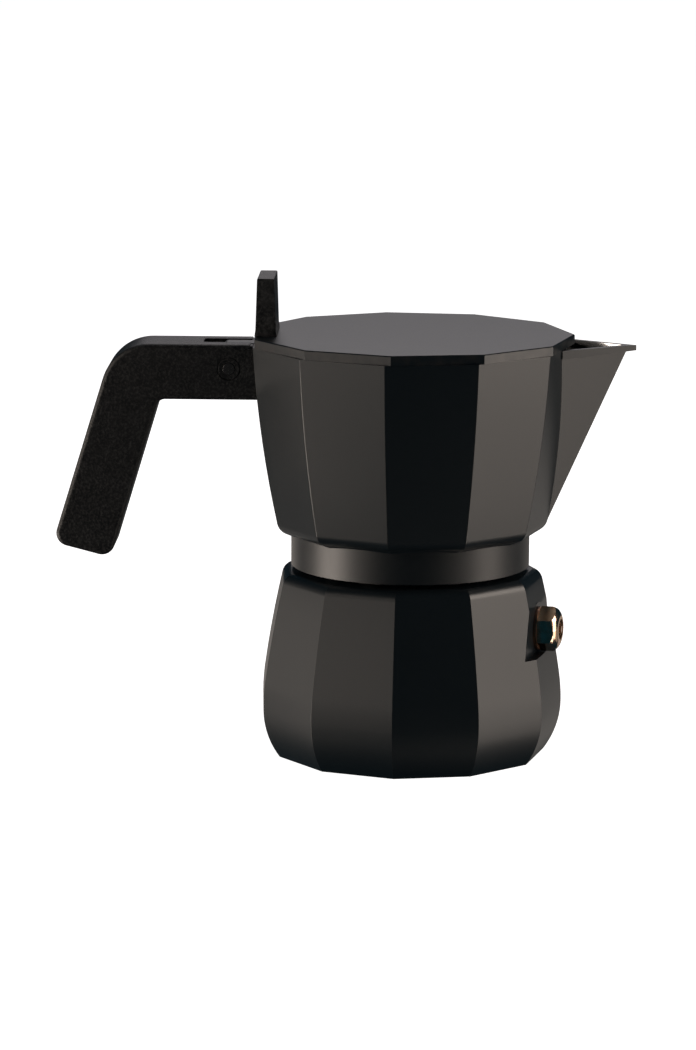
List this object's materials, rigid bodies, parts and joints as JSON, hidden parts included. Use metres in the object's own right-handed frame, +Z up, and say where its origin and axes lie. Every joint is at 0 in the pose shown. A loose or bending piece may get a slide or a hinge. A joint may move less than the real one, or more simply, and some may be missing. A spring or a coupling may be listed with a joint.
{
  "type": "moka pot",
  "caption": "Stovetop moka pot with faceted black boiler and jug, V spout, flat hinged lid with fin knob, angled handle and brass safety valve.",
  "frame": {"origin": "centre of the boiler's flat base, on the surface the pot stands on", "axes": "+Z up, +X to the spout, -X to the handle"},
  "size_m": [0.1758, 0.0983, 0.1466],
  "materials": {
    "black_cast_aluminium": "satin",
    "bare_aluminium": "satin",
    "rose_brass": "gloss",
    "black_grained_plastic": "matte",
    "black_bush_plastic": "satin",
    "black_steel": "satin",
    "fastener_steel": "satin",
    "spring_steel": "gloss",
    "silicone": "matte"
  },
  "bodies": {
    "boiler_unit": {"boiler": "black_cast_aluminium", "valve_body": "rose_brass", "valve_washer": "rose_brass", "valve_retainer": "rose_brass", "valve_spring": "spring_steel"},
    "relief_pin": {"valve_pin": "rose_brass", "valve_seal": "silicone"},
    "funnel_unit": {"funnel": "bare_aluminium", "funnel_filter": "bare_aluminium"},
    "seal_pack": {"gasket": "silicone", "filter_plate": "bare_aluminium"},
    "collector_unit": {"collector": "black_cast_aluminium", "column": "bare_aluminium", "handle": "black_grained_plastic", "handle_screw": "fastener_steel", "handle_washer": "fastener_steel", "hinge_pin": "black_steel", "hinge_bushes": "black_bush_plastic"},
    "lid_unit": {"lid": "black_cast_aluminium", "knob": "black_grained_plastic", "knob_screws": "fastener_steel"}
  },
  "joints": [
    {"name": "collector_rise", "type": "slide", "parent": "boiler_unit", "child": "seal_pack", "axis": [0, 0, 1], "range_m": [0, 0.00676]},
    {"name": "collector_turn", "type": "hinge", "parent": "seal_pack", "child": "collector_unit", "pos_m": [0, 0, 0], "axis": [0, 0, 1], "range_deg": [0, 810]},
    {"name": "funnel_lift", "type": "slide", "parent": "boiler_unit", "child": "funnel_unit", "axis": [0, 0, 1], "range_m": [0, 0.00338]},
    {"name": "lid_hinge", "type": "hinge", "parent": "collector_unit", "child": "lid_unit", "pos_m": [-0.055, 0, 0.119], "axis": [0, -1, 0], "range_deg": [0, 85]},
    {"name": "valve_lift", "type": "slide", "parent": "boiler_unit", "child": "relief_pin", "axis": [0.9729, -0.2311, 0], "range_m": [0, 0.0015], "stiffness_N_per_m": 800, "springref_m": -0.001, "deforming": ["valve_spring"]}
  ],
  "couplings": [
    {"joint": "collector_rise", "follows": "collector_turn", "m_per_rad": 0.00047746},
    {"joint": "funnel_lift", "follows": "collector_turn", "m_per_rad": 0.00023873}
  ]
}
